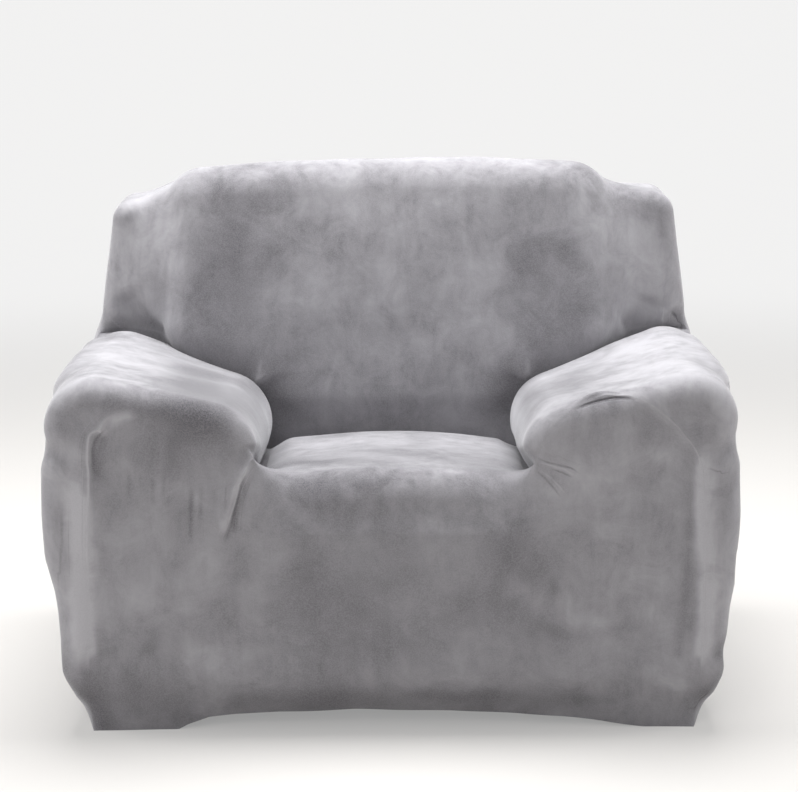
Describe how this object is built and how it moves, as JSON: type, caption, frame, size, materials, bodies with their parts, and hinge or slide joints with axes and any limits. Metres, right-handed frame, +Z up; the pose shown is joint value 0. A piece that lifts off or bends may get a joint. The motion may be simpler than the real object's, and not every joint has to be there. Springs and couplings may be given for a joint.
{
  "type": "fitted armchair slipcover",
  "caption": "Stretch slipcover of plush, shaped to a rolled-arm armchair, with a gathered hem drawn under the seat; hollow, without the chair.",
  "frame": {"origin": "on the floor, under the middle of the cover's width and depth", "axes": "+X to the right seen from the front, +Y to the back, +Z up"},
  "size_m": [1.1475, 0.8699, 0.8859],
  "materials": {
    "plush": "short soft pile, grey, paler where it is seen at a slant"
  },
  "bodies": {
    "root": {"seat_front": "plush", "arm_left": "plush", "arm_right": "plush", "inside_back": "plush", "outside_back": "plush"}
  },
  "joints": []
}
